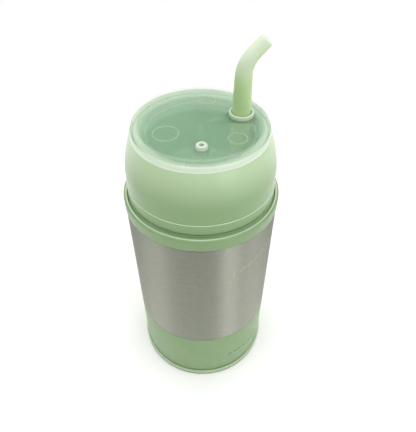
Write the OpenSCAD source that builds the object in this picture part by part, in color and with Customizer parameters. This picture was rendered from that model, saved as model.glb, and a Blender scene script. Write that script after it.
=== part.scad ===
// Insulated straw cup with a snack pot in its domed lid.
// Millimetres. +Z is up, the origin is the middle of the foot on the ground.

/* [Steel cup] */
// Outside diameter of the steel cup
cup_d = 75.5; // [66:0.5:95]
// Height of the steel cup's lip above the ground
cup_h = 118.5; // [95:0.5:150]
// Thickness of each steel wall
steel_t = 0.8; // [0.5:0.1:1.2]
// Width of the vacuum gap between the two walls
vacuum_gap = 2.4; // [1.8:0.1:4]
// Height of the vacuum gap under the liner's floor
floor_gap = 3; // [2:0.5:8]
// Height of the steel bottom above the ground
bottom_z = 2.2; // [1.8:0.1:5]
// Radius of the shell's bottom corner
shell_corner = 3; // [1:0.5:5]
// Radius of the liner's bottom corner
liner_corner = 9; // [3:0.5:14]
// Radius of the rolled edge at the lip
lip_round = 0.6; // [0.2:0.1:0.8]
// Radius of the welded bottom plate
plate_r = 30; // [22:0.5:31]
// Radius of the plug that seals the vacuum port
plug_r = 4; // [2:0.5:8]
// How far the plug stands in from the bottom plate
plug_t = 1.2; // [0.9:0.1:2]

/* [Base] */
// How far the foot ring stands out of the cup's side
foot_out = 0.75; // [0.3:0.05:1.5]
// Height of the foot ring
foot_h = 3.6; // [3:0.1:6]
// Inside radius of the foot ring's floor
foot_hole_r = 24; // [16:0.5:28]
// Height of the sleeve's bottom edge above the ground
sleeve_z = 4.6; // [4.2:0.1:10]
// Height of the sleeve's top edge above the ground
sleeve_top = 40.4; // [25:0.1:60]
// Thickness of the base sleeve
sleeve_t = 1.3; // [0.8:0.1:1.8]

/* [Neck collar] */
// How far the collar stands out of the cup's side
collar_out = 0.32; // [0.1:0.02:1]
// Height of the collar
collar_h = 6.25; // [5:0.05:10]
// Thickness of the collar's rim
collar_wall = 1.87; // [1.2:0.1:2.5]
// Thickness of the collar's floor over the steel lip
collar_floor = 1.6; // [1:0.1:2]
// Radius of the rounding on the collar's top edge
collar_round = 0.85; // [0.2:0.05:1]
// Thickness of the threaded sleeve inside the mouth
neck_wall = 1.5; // [1.2:0.1:2]
// Length of the threaded sleeve below the lip
neck_len = 18; // [15:0.5:26]

/* [Thread] */
// Rise of the lid in one turn
pitch = 5; // [4:0.5:6]
// Turns of thread on each piece
thread_turns = 1.25; // [1:0.25:1.5]
// Height of the thread's ridge above its wall
ridge_h = 1.1; // [0.8:0.1:1.4]
// Width of the ridge at its root
ridge_root = 1.8; // [1.2:0.1:1.9]
// Width of the ridge at its tip
ridge_tip = 1; // [0.6:0.1:1.2]
// Height of the first ridge above the skirt's lower edge
ridge_start = 2.5; // [2:0.5:4]

/* [Lid base] */
// Thickness of the skirt
skirt_wall = 1.6; // [1.2:0.1:2]
// Length of the skirt below the steel lip
skirt_len = 16.5; // [14:0.5:24]
// Thickness of the flange that closes on the gasket
flange_t = 3.4; // [2:0.1:4]
// Thickness of the floor over the drink
floor_t = 2; // [1.5:0.1:3]
// Thickness of the gasket
gasket_t = 1; // [0.8:0.1:1.5]
// Depth of the open groove between the collar and the dome
gap_depth = 0.7; // [0.4:0.05:1.4]
// Height of the open groove between the collar and the dome
gap_h = 1.85; // [1:0.05:3]
// Height of the spigot that holds the dome
spigot_h = 4; // [2:0.5:5]
// Thickness of the spigot
spigot_wall = 1.8; // [1.2:0.1:2.4]
// Thickness of the boss around the straw sleeve's foot
boss_wall = 1.8; // [1.2:0.1:2.2]
// How far the boss reaches below the floor
boss_h = 4; // [3:0.5:6]

/* [Dome] */
// How far the dome's side stands in from the cup's side
dome_in = 2.35; // [2:0.05:4]
// Height of the dome from its bottom edge to its top
dome_h = 30.2; // [26:0.1:40]
// Height of the band along the dome's bottom edge
band_h = 5.5; // [3:0.1:8]
// How far the band stands out of the dome
band_out = 0.25; // [0.1:0.05:0.4]
// Height of the dome's straight side
straight_h = 12.9; // [8:0.1:16]
// How far the dome's top draws in
draw_in = 3.95; // [2:0.05:5]
// Sharpness of the dome's shoulder
dome_curve = 1.54; // [1.2:0.02:3]
// Wall thickness of the dome
dome_wall = 1.8; // [1.2:0.1:2]
// Thickness of the ledge at the dome's top
ledge_t = 1.6; // [1.2:0.1:2.5]

/* [Snack pot] */
// Width from the pot's mouth to the dome's top edge
pot_ledge = 5.25; // [4.2:0.05:7]
// Wall thickness of the pot
pot_wall = 1.4; // [1:0.1:1.8]
// Width of the small ledge inside the pot
pot_step = 0.4; // [0.2:0.05:0.6]
// Depth of that ledge below the dome's top
pot_step_z = 5.3; // [4.5:0.1:10]
// Clearance under the pot's floor
pot_clear = 2; // [1:0.1:4]
// Thickness of the pot's floor
pot_floor = 1.4; // [1:0.1:2]
// Radius of the pot's inside bottom corner
pot_corner = 3; // [1:0.5:6]
// Thickness of the pot's rim
pot_rim_t = 1.2; // [0.8:0.1:1.4]

/* [Top lid] */
// Height of the top lid from the dome's top to its rim
lid_h = 5.1; // [4.6:0.1:6]
// Depth of the flat plate below the rim
lid_sink = 1.4; // [0.8:0.1:1.8]
// Thickness of the plate
lid_t = 1.6; // [1.2:0.1:1.9]
// How far the rim's top draws in from the dome's top edge
lid_rim_in = 1.45; // [1:0.05:2.4]
// Thickness of the lid's side wall
lid_wall = 1.65; // [1:0.05:2.2]
// Width of the rim's rounded top
lid_rim_w = 1.9; // [1.4:0.1:2.2]
// Gap between the plug and the pot, which the seal fills
plug_gap = 1.1; // [0.8:0.05:1.6]
// Thickness of the plug
plug_skirt_t = 1.2; // [0.9:0.1:1.6]
// Depth of the plug's lower edge below the dome's top
plug_skirt_z = 0.8; // [0.4:0.1:1.6]
// Radii of the three moulded rings on the plate
mark_r = [4.1, 5.5, 4];
// Distances of the three moulded rings from the middle of the plate
mark_reach = [19.6, 17, 20];
// Directions of the three moulded rings
mark_az = [81, 210, 321];
// Width of a moulded ring's line
mark_line = 0.3; // [0.2:0.05:0.5]
// Height of a moulded ring's line
mark_h = 0.12; // [0.08:0.02:0.3]

/* [Straw and vent] */
// Gap between the straw's sleeve and the pot's side
tube_gap = 1.525; // [0.6:0.025:3]
// Direction of the straw
straw_az = 14.5; // [0:0.5:40]
// Direction of the vent
vent_az = 271; // [240:1:290]
// Wall thickness of the straw's sleeve
tube_wall = 1.125; // [0.8:0.025:1.6]
// Gap between the soft spout and its sleeve
spout_gap = 0.35; // [0.3:0.05:0.6]
// How far the sleeve stands above the lid's rim
tube_out = 1.1; // [0.5:0.1:3]
// Outside diameter of the vent tube
vent_d = 5.6; // [5:0.1:6.4]
// Inside diameter of the vent tube
vent_bore = 2; // [1.2:0.1:2.6]
// How far the vent tube stands above the lid's rim
vent_out = 0.2; // [0:0.1:2]
// Outside diameter of the soft spout where it leaves the sleeve
spout_d = 8.2; // [6.8:0.1:10]
// Outside diameter of the soft spout at its tip
tip_d = 6.3; // [5.2:0.1:7.6]
// Height of the bend's start above the lid's rim
bend_z = 17.5; // [16:0.5:30]
// Radius of the bend
bend_r = 14; // [9:0.5:20]
// Angle of the bend
bend_a = 44; // [30:1:80]
// Length of the straight tip after the bend
tip_len = 6.8; // [2:0.1:12]
// Direction in which the spout bends
bend_az = 8; // [0:1:40]
// Wall thickness of the spout
spout_wall = 1.15; // [0.9:0.05:1.4]
// Length of the connector's barrel
barrel_len = 26; // [20:0.5:30]
// Length of the nipple inside the spout
nipple_len = 12; // [8:0.5:16]
// Wall thickness of the nipple
nipple_wall = 0.8; // [0.6:0.05:1]
// Thickness of the connector's socket round the lower straw
socket_wall = 0.8; // [0.6:0.05:1]
// Depth of that socket
socket_len = 8; // [5:0.5:12]
// How far the connector reaches below the sleeve
connector_drop = 6; // [3:0.5:10]
// Wall thickness of the lower straw
straw_wall = 0.8; // [0.6:0.05:1]
// Gap between the straw's end and the liner's floor
straw_gap = 4; // [2:0.5:12]
// Thickness of the wiper seal under the sleeve
seal_t = 1.8; // [1.2:0.1:2.4]
// Wall thickness of the vent's valve
valve_wall = 1.4; // [1:0.1:2]
// Length of the vent tube inside its valve
valve_grip = 3.2; // [2:0.1:4]
// Length of the valve's bill
valve_bill = 5; // [3:0.5:7]

/* [Fits] */
// Clearance between pieces that are pressed or clipped together
snug = 0.05; // [0.03:0.01:0.1]
// Radial clearance where one piece turns or slides in another
running = 0.08; // [0.05:0.01:0.1]
// Clearance between pieces that must not touch
free = 0.3; // [0.2:0.05:0.5]

/* [Hidden] */
$fn = 96;
ARC = 8;            // points along a small rounding
DOME_POINTS = 14;   // points along the dome's shoulder
THREAD_STEPS = 40;  // steps in one turn of thread
SPOUT_SIDES = 24;   // sides of the bent tube
BEND_STEPS = 12;    // rings around the bend

// Steel walls
cup_r = cup_d / 2;
foot_r = cup_r + foot_out;
shell_in = cup_r - steel_t;
liner_out = shell_in - vacuum_gap;
liner_in = liner_out - steel_t;
waist_r = cup_r - sleeve_t - snug;          // shell radius behind the sleeve
waist_in = waist_r - steel_t;
liner_floor = bottom_z + 2 * steel_t + floor_gap;

// Collar and thread
collar_r = cup_r + collar_out;
collar_in = collar_r - collar_wall;
collar_top = cup_h + collar_h;
seat_z = cup_h + collar_floor;              // where the gasket sits
neck_out = liner_in - snug;
neck_in = neck_out - neck_wall;
skirt_out = neck_in - ridge_h - free;
skirt_in = skirt_out - skirt_wall;

// Lid base
gasket_z = seat_z + snug;
flange_z = gasket_z + gasket_t + snug;
flange_r = collar_in - free;
flange_top = flange_z + flange_t;
dome_z = collar_top + gap_h;
floor_top = flange_top;
floor_z = floor_top - floor_t;
dome_r = cup_r - dome_in;
gap_neck_r = dome_r - gap_depth;
spigot_r = dome_r - dome_wall - snug;
spigot_top = dome_z + spigot_h;

// Dome, pot and top lid
dome_top = dome_z + dome_h;
rim_r = dome_r - draw_in;                   // outside radius at the dome's top
pot_in = rim_r - pot_ledge;
low_in = pot_in - pot_step;                 // inside radius below the small ledge
pot_out = pot_in + pot_wall;
pot_z = floor_top + pot_clear;
pot_rim_z = dome_top + snug;
lid_top = dome_top + lid_h;
plate_top = lid_top - lid_sink;
plate_z = plate_top - lid_t;
lid_rim_r = rim_r - lid_rim_in;
lid_in = rim_r - lid_wall;                  // inside radius of the lid's side wall
pot_rim_r = lid_in - free;
plug_skirt_r = pot_in - plug_gap;
skirt_edge = dome_top - plug_skirt_z;

// Straw and vent places
spout_r = spout_d / 2;
tube_bore_r = spout_r + spout_gap;
tube_r = tube_bore_r + tube_wall;
boss_r = tube_r + boss_wall;
pitch_r = low_in - tube_gap - tube_r;       // the straw and the vent share one circle
straw_xy = [pitch_r * cos(straw_az), pitch_r * sin(straw_az)];
vent_xy = [pitch_r * cos(vent_az), pitch_r * sin(vent_az)];
vent_r = vent_d / 2;
tube_top = lid_top + tube_out;
vent_top = lid_top + vent_out;
tube_z = floor_z - boss_h;
tip_r = tip_d / 2;
spout_z = tube_z + barrel_len;
bend_start = lid_top + bend_z;
taper_z = tube_top + 3;
bend_r0 = spout_r - 0.3;                    // spout radius where the bend starts
spout_bore_r = spout_r - spout_wall;
nipple_r = spout_bore_r - running;
barrel_r = spout_r;
straw_r = barrel_r - socket_wall;
connector_z = tube_z - connector_drop;
straw_end = liner_floor + straw_gap;

// ---- profiles ----
// Points of a quarter round of radius r about c, from angle a0 to a1
function arc(c, r, a0, a1, n = ARC) =
    [for (i = [0:n]) let (a = a0 + (a1 - a0) * i / n) [c[0] + r * cos(a), c[1] + r * sin(a)]];

// Outer radius of the dome at height t along its shoulder (0 at the bottom, 1 at the top)
function shoulder(inset, z0, z1) =
    [for (i = [0:DOME_POINTS])
        let (t = i / DOME_POINTS) [dome_r - inset - draw_in * pow(t, dome_curve), z0 + t * (z1 - z0)]];

module ring(r0, r1, z0, z1) {
    translate([0, 0, z0])
        difference() {
            cylinder(r = r1, h = z1 - z0);
            translate([0, 0, -1]) cylinder(r = r0, h = z1 - z0 + 2);
        }
}

// One helical ridge. side is 1 for a ridge that stands outwards and -1 for one that stands inwards
module helix(wall_r, side, z0) {
    root = wall_r - side * 0.4;
    tip = wall_r + side * ridge_h;
    n = ceil(THREAD_STEPS * thread_turns);
    pts = [for (i = [0:n])
        let (a = 360 * i / THREAD_STEPS, z = z0 + pitch * i / THREAD_STEPS)
        for (p = [[root, -ridge_root / 2], [tip, -ridge_tip / 2], [tip, ridge_tip / 2], [root, ridge_root / 2]])
            [p[0] * cos(a), p[0] * sin(a), z + p[1]]];
    // the two ridges have opposite winding, so the faces are turned for one of them
    quads = [for (i = [0:n - 1]) for (k = [0:3])
        let (a = 4 * i + k, b = 4 * i + (k + 1) % 4)
        side > 0 ? [a, b, b + 4, a + 4] : [a, a + 4, b + 4, b]];
    first = side > 0 ? [3, 2, 1, 0] : [0, 1, 2, 3];
    last = side > 0 ? [4 * n, 4 * n + 1, 4 * n + 2, 4 * n + 3] : [4 * n + 3, 4 * n + 2, 4 * n + 1, 4 * n];
    polyhedron(points = pts, faces = concat([first, last], quads), convexity = 6);
}

// ---- base ----
module foot_ring() {
    // the inside follows the shell's bottom corner up to the ring's top edge
    seat_r = shell_corner + snug;
    corner = [waist_r - shell_corner, bottom_z + shell_corner];
    rise = min(0, asin(min(1, max(-1, (foot_h - corner[1]) / seat_r))));
    color("darkseagreen")
        rotate_extrude()
            polygon(concat(
                [[foot_hole_r, 0]],
                arc([foot_r - 0.6, 0.6], 0.6, -90, 0),
                arc([foot_r - 0.8, foot_h - 0.8], 0.8, 0, 90),
                foot_h > corner[1] ? [[waist_r + snug, foot_h]] : [],
                arc(corner, seat_r, rise, -90),
                [[foot_hole_r, bottom_z - snug]]));
}

module base_sleeve() {
    color("darkseagreen")
        rotate_extrude()
            polygon(concat(
                [[waist_r + snug, sleeve_z]],
                arc([cup_r - 0.4, sleeve_z + 0.4], 0.4, -90, 0, 4),
                arc([cup_r - 0.25, sleeve_top - 0.25], 0.25, 0, 90, 4),
                [[waist_r + snug, sleeve_top]]));
}

// ---- steel cup ----
module outer_shell() {
    step_z = sleeve_top + 0.2;
    corner = [waist_r - shell_corner, bottom_z + shell_corner];
    color("silver")
        rotate_extrude()
            polygon(concat(
                [[plate_r, bottom_z]],
                arc(corner, shell_corner, -90, 0),
                [[waist_r, step_z], [cup_r - 0.2, step_z], [cup_r, step_z + 0.2]],
                arc([cup_r - lip_round, cup_h - lip_round], lip_round, 0, 90),
                [[liner_out, cup_h], [liner_out, cup_h - steel_t],
                 [shell_in, cup_h - steel_t], [shell_in, step_z + steel_t],
                 [waist_in, step_z + steel_t]],
                arc(corner, shell_corner - steel_t, 0, -90),
                [[plate_r, bottom_z + steel_t]]));
}

module inner_liner() {
    corner_z = liner_floor + liner_corner;
    color("gainsboro")
        rotate_extrude()
            polygon(concat(
                [[0, liner_floor - steel_t]],
                arc([liner_in - liner_corner, corner_z], liner_corner + steel_t, -90, 0),
                [[liner_out, cup_h], [liner_in, cup_h]],
                arc([liner_in - liner_corner, corner_z], liner_corner, 0, -90),
                [[0, liner_floor]]));
}

module bottom_plate() {
    color("silver") ring(plug_r, plate_r, bottom_z, bottom_z + steel_t);
}

module vacuum_plug() {
    color("gainsboro")
        translate([0, 0, bottom_z + 0.1]) cylinder(r = plug_r, h = plug_t);
}

// ---- collar ----
module neck_collar() {
    color("darkseagreen")
        union() {
            rotate_extrude()
                polygon(concat(
                    [[neck_in, cup_h - neck_len], [neck_out, cup_h - neck_len], [neck_out, cup_h]],
                    arc([collar_r - 0.4, cup_h + 0.4], 0.4, -90, 0, 4),
                    arc([collar_r - collar_round, collar_top - collar_round], collar_round, 0, 90),
                    [[collar_in + 0.25, collar_top], [collar_in, collar_top - 0.25],
                     [collar_in, seat_z], [neck_in, seat_z]]));
            helix(neck_in, -1, cup_h - skirt_len + ridge_start + pitch / 2);
        }
}

module neck_gasket() {
    color("honeydew") ring(neck_in + free, flange_r - free, gasket_z, gasket_z + gasket_t);
}

// ---- lid base ----
module lid_base() {
    edge = cup_h - skirt_len;
    color("darkseagreen")
        difference() {
            union() {
                rotate_extrude()
                    polygon([[skirt_in, edge], [skirt_out - 0.4, edge], [skirt_out, edge + 0.4],
                        [skirt_out, flange_z], [flange_r, flange_z], [flange_r, flange_top],
                        [gap_neck_r, flange_top], [gap_neck_r, dome_z - snug],
                        [spigot_r, dome_z - snug], [spigot_r, spigot_top],
                        [spigot_r - spigot_wall, spigot_top], [spigot_r - spigot_wall, floor_top],
                        [0, floor_top], [0, floor_z], [skirt_in, floor_z]]);
                translate([straw_xy[0], straw_xy[1], tube_z]) cylinder(r = boss_r, h = boss_h + 1);
                helix(skirt_out, 1, edge + ridge_start);
            }
            translate([straw_xy[0], straw_xy[1], tube_z - 1])
                cylinder(r = tube_r + snug, h = boss_h + floor_t + 3);
            translate([vent_xy[0], vent_xy[1], floor_z - 1]) cylinder(r = vent_r + snug, h = floor_t + 3);
        }
}

// ---- dome ----
module dome_shell() {
    shoulder_z = dome_z + straight_h;
    band_top = dome_z + band_h;
    in_top = dome_top - ledge_t;
    color("darkseagreen")
        rotate_extrude()
            polygon(concat(
                [[dome_r - dome_wall, dome_z]],
                arc([dome_r + band_out - 0.4, dome_z + 0.4], 0.4, -90, 0, 4),
                [[dome_r + band_out, band_top - 0.15], [dome_r + band_out - 0.15, band_top],
                 [dome_r, band_top]],
                shoulder(0, shoulder_z, dome_top),
                [[pot_out + snug, dome_top], [pot_out + snug, in_top]],
                [for (i = [DOME_POINTS:-1:0]) shoulder(dome_wall, shoulder_z, in_top)[i]]));
}

module dome_seal() {
    color("seagreen")
        ring(gap_neck_r + snug, flange_r - 0.5, flange_top + 0.35, dome_z - 0.5);
}

// ---- snack pot ----
module snack_pot() {
    step_z = dome_top - pot_step_z;
    corner = [low_in - pot_corner, pot_z + pot_floor + pot_corner];
    color("aquamarine")
        difference() {
            rotate_extrude()
                polygon(concat(
                    [[0, pot_z]],
                    arc(corner, pot_corner + pot_floor, -90, 0),
                    [[low_in + pot_floor, step_z - 2], [pot_out, step_z], [pot_out, pot_rim_z],
                     [pot_rim_r, pot_rim_z], [pot_rim_r, pot_rim_z + pot_rim_t],
                     [pot_in, pot_rim_z + pot_rim_t], [pot_in, step_z], [low_in, step_z]],
                    arc(corner, pot_corner, 0, -90),
                    [[0, pot_z + pot_floor]]));
            translate([straw_xy[0], straw_xy[1], pot_z - 1]) cylinder(r = tube_r + snug, h = pot_floor + 2);
            translate([vent_xy[0], vent_xy[1], pot_z - 1]) cylinder(r = vent_r + snug, h = pot_floor + 2);
        }
}

// ---- straw sleeve and vent ----
module straw_sleeve() {
    color("honeydew")
        translate([straw_xy[0], straw_xy[1], 0])
            rotate_extrude()
                polygon(concat(
                    [[tube_bore_r, tube_z], [tube_r, tube_z]],
                    arc([tube_r - 0.4, tube_top - 0.4], 0.4, 0, 90, 4),
                    [[tube_bore_r + 0.3, tube_top], [tube_bore_r, tube_top - 0.3]]));
}

module straw_seal() {
    color("seagreen")
        translate([straw_xy[0], straw_xy[1], 0])
            ring(barrel_r + running, boss_r, tube_z - snug - seal_t, tube_z - snug);
}

module vent_tube() {
    color("honeydew")
        translate([vent_xy[0], vent_xy[1], 0])
            rotate_extrude()
                polygon(concat(
                    [[vent_bore / 2, floor_z - valve_grip], [vent_r, floor_z - valve_grip]],
                    arc([vent_r - 0.5, vent_top - 0.5], 0.5, 0, 90, 4),
                    [[vent_bore / 2 + 0.25, vent_top], [vent_bore / 2, vent_top - 0.25]]));
}

module vent_valve() {
    low = floor_z - valve_grip - snug;
    color("seagreen")
        translate([vent_xy[0], vent_xy[1], 0])
            rotate_extrude()
                polygon([[vent_r + snug, floor_z - snug], [vent_r + valve_wall, floor_z - snug],
                    [vent_r + valve_wall, low], [1.6, low - valve_bill], [0.3, low - valve_bill],
                    [0.3, low - valve_bill + 1], [vent_r - 0.6, low - 0.6], [vent_r + snug, low]]);
}

// ---- top lid ----
module top_lid() {
    lid_foot = dome_top + snug;
    crown = lid_rim_r - lid_rim_w / 2;
    color("honeydew")
        difference() {
            union() {
                rotate_extrude()
                    polygon(concat(
                        [[plug_skirt_r - plug_skirt_t, skirt_edge], [plug_skirt_r, skirt_edge],
                         [plug_skirt_r, plate_z], [lid_in - 1, plate_z], [lid_in, plate_z - 1],
                         [lid_in, lid_foot], [rim_r, lid_foot],
                         [rim_r - 0.25, lid_foot + 1.4], [rim_r - 0.7, lid_foot + 2.8]],
                        arc([crown, lid_top - lid_rim_w / 2], lid_rim_w / 2, 0, 180),
                        [[crown - lid_rim_w / 2 - 0.9, plate_top], [0, plate_top], [0, plate_z],
                         [plug_skirt_r - plug_skirt_t, plate_z]]));
                for (i = [0:len(mark_r) - 1])
                    rotate([0, 0, mark_az[i]])
                        translate([mark_reach[i], 0, 0])
                            ring(mark_r[i] - mark_line / 2, mark_r[i] + mark_line / 2,
                                plate_top - mark_line, plate_top + mark_h);
            }
            translate([straw_xy[0], straw_xy[1], skirt_edge - 1]) cylinder(r = tube_r + running, h = lid_h + 5);
            translate([vent_xy[0], vent_xy[1], skirt_edge - 1]) cylinder(r = vent_r + running, h = lid_h + 5);
        }
}

module lid_seal() {
    color("seagreen")
        ring(plug_skirt_r + snug, pot_in - running, skirt_edge + 0.5, skirt_edge + 1.9);
}

// ---- straw ----
// Centre and direction of the bent part at step i: an arc, then the straight tip
function bend_point(i) =
    let (a = bend_a * min(i, BEND_STEPS) / BEND_STEPS, extra = max(i - BEND_STEPS, 0) * tip_len / 2)
    [bend_r * (1 - cos(a)) + extra * sin(a), bend_start + bend_r * sin(a) + extra * cos(a), a];

// Solid tube along the bend whose radius runs from r0 to r1
module bent_tube(r0, r1, grow) {
    n = BEND_STEPS + 2;
    rings = [for (i = [-1:n + 1])
        let (j = max(0, min(n, i)), p = bend_point(j), out = i < 0 ? -grow : i > n ? grow : 0)
        [p[0] + out * sin(p[2]), p[1] + out * cos(p[2]), p[2], r0 + (r1 - r0) * j / n]];
    pts = [for (g = rings) for (k = [0:SPOUT_SIDES - 1])
        let (b = 360 * k / SPOUT_SIDES)
        [g[0] + g[3] * cos(b) * cos(g[2]), g[3] * sin(b), g[1] - g[3] * cos(b) * sin(g[2])]];
    m = len(rings);
    quads = [for (i = [0:m - 2]) for (k = [0:SPOUT_SIDES - 1])
        let (a = SPOUT_SIDES * i + k, b = SPOUT_SIDES * i + (k + 1) % SPOUT_SIDES)
        [a, a + SPOUT_SIDES, b + SPOUT_SIDES, b]];
    low = [for (k = [0:SPOUT_SIDES - 1]) k];
    high = [for (k = [SPOUT_SIDES - 1:-1:0]) SPOUT_SIDES * (m - 1) + k];
    polyhedron(points = pts, faces = concat([low, high], quads), convexity = 6);
}

module straw_spout() {
    color("palegreen")
        translate([straw_xy[0], straw_xy[1], 0])
            rotate([0, 0, bend_az]) {
                rotate_extrude()
                    polygon([[spout_bore_r, spout_z + snug], [spout_r, spout_z + snug], [spout_r, taper_z],
                        [bend_r0, bend_start], [bend_r0 - spout_wall, bend_start],
                        [spout_bore_r, taper_z]]);
                // the bent part starts inside the straight part's wall, a hair in from both its faces
                difference() {
                    bent_tube(bend_r0 - 0.03, tip_r, 0.5);
                    bent_tube(bend_r0 - spout_wall + 0.06, tip_r - spout_wall, 0.8);
                }
            }
}

module straw_connector() {
    bore = nipple_r - nipple_wall;
    color("honeydew")
        translate([straw_xy[0], straw_xy[1], 0])
            rotate_extrude()
                polygon([[straw_r, connector_z], [barrel_r, connector_z], [barrel_r, spout_z],
                    [nipple_r, spout_z], [nipple_r, spout_z + nipple_len - 0.8],
                    [nipple_r - 0.4, spout_z + nipple_len], [bore, spout_z + nipple_len],
                    [bore, connector_z + socket_len], [straw_r, connector_z + socket_len]]);
}

module lower_straw() {
    color("honeydew")
        translate([straw_xy[0], straw_xy[1], 0])
            ring(straw_r - straw_wall, straw_r, straw_end, connector_z + socket_len);
}

foot_ring();
base_sleeve();
outer_shell();
inner_liner();
bottom_plate();
vacuum_plug();
neck_collar();
neck_gasket();
lid_base();
dome_shell();
dome_seal();
snack_pot();
straw_sleeve();
straw_seal();
vent_tube();
vent_valve();
top_lid();
lid_seal();
straw_spout();
straw_connector();
lower_straw();
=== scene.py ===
"""Looks for an insulated straw cup: moulded green plastic, brushed steel, a milky top lid and a soft spout.

Lengths are in metres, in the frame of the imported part. +Z is up and the cup stands on z = 0.
"""

import math

import bmesh
import bpy
from bpy.props import FloatProperty, FloatVectorProperty, IntProperty, PointerProperty
from bpy.types import Operator, Panel, PropertyGroup
from mathutils import Matrix, Vector


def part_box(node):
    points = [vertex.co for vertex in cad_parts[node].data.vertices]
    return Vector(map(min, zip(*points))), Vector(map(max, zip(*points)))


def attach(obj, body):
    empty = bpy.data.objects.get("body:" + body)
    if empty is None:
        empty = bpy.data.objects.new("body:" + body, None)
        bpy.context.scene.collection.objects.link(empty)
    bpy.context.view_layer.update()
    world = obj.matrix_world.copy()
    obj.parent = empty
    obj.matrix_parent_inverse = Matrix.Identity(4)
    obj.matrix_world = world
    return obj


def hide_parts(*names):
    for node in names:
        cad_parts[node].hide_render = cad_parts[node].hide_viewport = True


bl_info = {
    "name": "Straw cup",
    "version": (1, 0, 0),
    "blender": (4, 5, 0),
    "location": "View3D > Sidebar > Straw cup",
    "description": "Builds the visible pieces of an insulated straw cup around its frame",
    "category": "Object",
}

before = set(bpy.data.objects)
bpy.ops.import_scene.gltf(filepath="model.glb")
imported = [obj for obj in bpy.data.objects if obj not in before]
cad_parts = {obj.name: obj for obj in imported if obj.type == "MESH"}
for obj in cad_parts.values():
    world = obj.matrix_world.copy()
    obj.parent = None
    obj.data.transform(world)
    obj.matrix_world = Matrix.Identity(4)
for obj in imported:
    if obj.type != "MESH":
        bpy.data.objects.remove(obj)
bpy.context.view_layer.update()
MM = 0.001
LATHE_STEPS = 160      # steps in a full turn of a large round piece
SMALL_STEPS = 64       # steps in a full turn of a small round piece
HOSE_SIDES = 32        # sides of the soft spout
SMOOTH_ANGLE = math.radians(32)
MERGE = 1e-7           # distance at which points of a turned piece are one
CAD_MERGE = 2e-6       # distance at which points of a CAD mesh are one
LAYERS_SEEN = 48       # see-through surfaces that a ray may pass, enough for the lid's and tubes' layers
PRINT = 0.06 * MM      # thickness of a print, half of it sunk into the surface
PRINT_STEP = 0.6 * MM  # widest facet of a print where it bends round the cup
LID_RISE = 5.9 * MM    # height of the top lid's crown above its plug's lower edge
BORE_GAP = 0.08 * MM   # gap round a tube that stands in the top lid
# FACES_UP places the spout's painted shade on its lower sides.
FACES_UP = "faces_up"  # attribute with the upward share of each point's normal


# ---------------------------------------------------------------- places from the frame
def low(node):
    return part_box(node)[0]


def high(node):
    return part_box(node)[1]


def middle(node):
    """The axis of a round piece, as a point on the ground."""
    a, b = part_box(node)
    return Vector(((a.x + b.x) / 2, (a.y + b.y) / 2, 0))


def radius(node):
    a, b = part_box(node)
    return (b.x - a.x) / 2


CUP_R = radius("outer_shell")
FOOT_R = radius("foot_ring")
COLLAR_R = radius("neck_collar")
BAND_R = radius("dome_shell")
LID_R = radius("top_lid")
SLEEVE_TOP = high("base_sleeve").z
STEEL_TOP = high("outer_shell").z
COLLAR_TOP = high("neck_collar").z
DOME_LOW = low("dome_shell").z
DOME_TOP = high("dome_shell").z
LID_TOP = low("top_lid").z + LID_RISE
STRAW_AXIS = middle("straw_sleeve")
VENT_AXIS = middle("vent_tube")


# ---------------------------------------------------------------- settings
class StrawCupSizes(PropertyGroup):
    """Sizes that only the look depends on."""
    edge_round: FloatProperty(
        name="Edge rounding", description="Radius on the small edges of the mouldings",
        default=0.3 * MM, min=0.05 * MM, max=0.6 * MM, unit="LENGTH")
    dome_wall: FloatProperty(
        name="Dome wall", description="Wall thickness of the dome",
        default=1.8 * MM, min=1 * MM, max=2 * MM, unit="LENGTH")
    band_height: FloatProperty(
        name="Band height", description="Height of the band along the dome's bottom edge",
        default=5.5 * MM, min=3 * MM, max=8 * MM, unit="LENGTH")
    straight_height: FloatProperty(
        name="Straight side", description="Height of the dome's side below its shoulder",
        default=12.9 * MM, min=8 * MM, max=16 * MM, unit="LENGTH")
    shoulder_power: FloatProperty(
        name="Shoulder shape", description="How late and sharply the shoulder turns in",
        default=1.54, min=1.2, max=3)
    shoulder_rings: IntProperty(
        name="Shoulder rings", description="Rings along the dome's shoulder",
        default=28, min=12, max=48)
    spout_bend: FloatProperty(
        name="Spout bend", description="Angle of the soft spout's bend",
        default=math.radians(44), min=math.radians(30), max=math.radians(80), subtype="ANGLE")
    spout_bend_radius: FloatProperty(
        name="Bend radius", description="Radius of the soft spout's bend",
        default=14 * MM, min=9 * MM, max=20 * MM, unit="LENGTH")
    spout_direction: FloatProperty(
        name="Spout direction", description="Direction in which the spout bends, from +X",
        default=math.radians(8), subtype="ANGLE")


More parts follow.
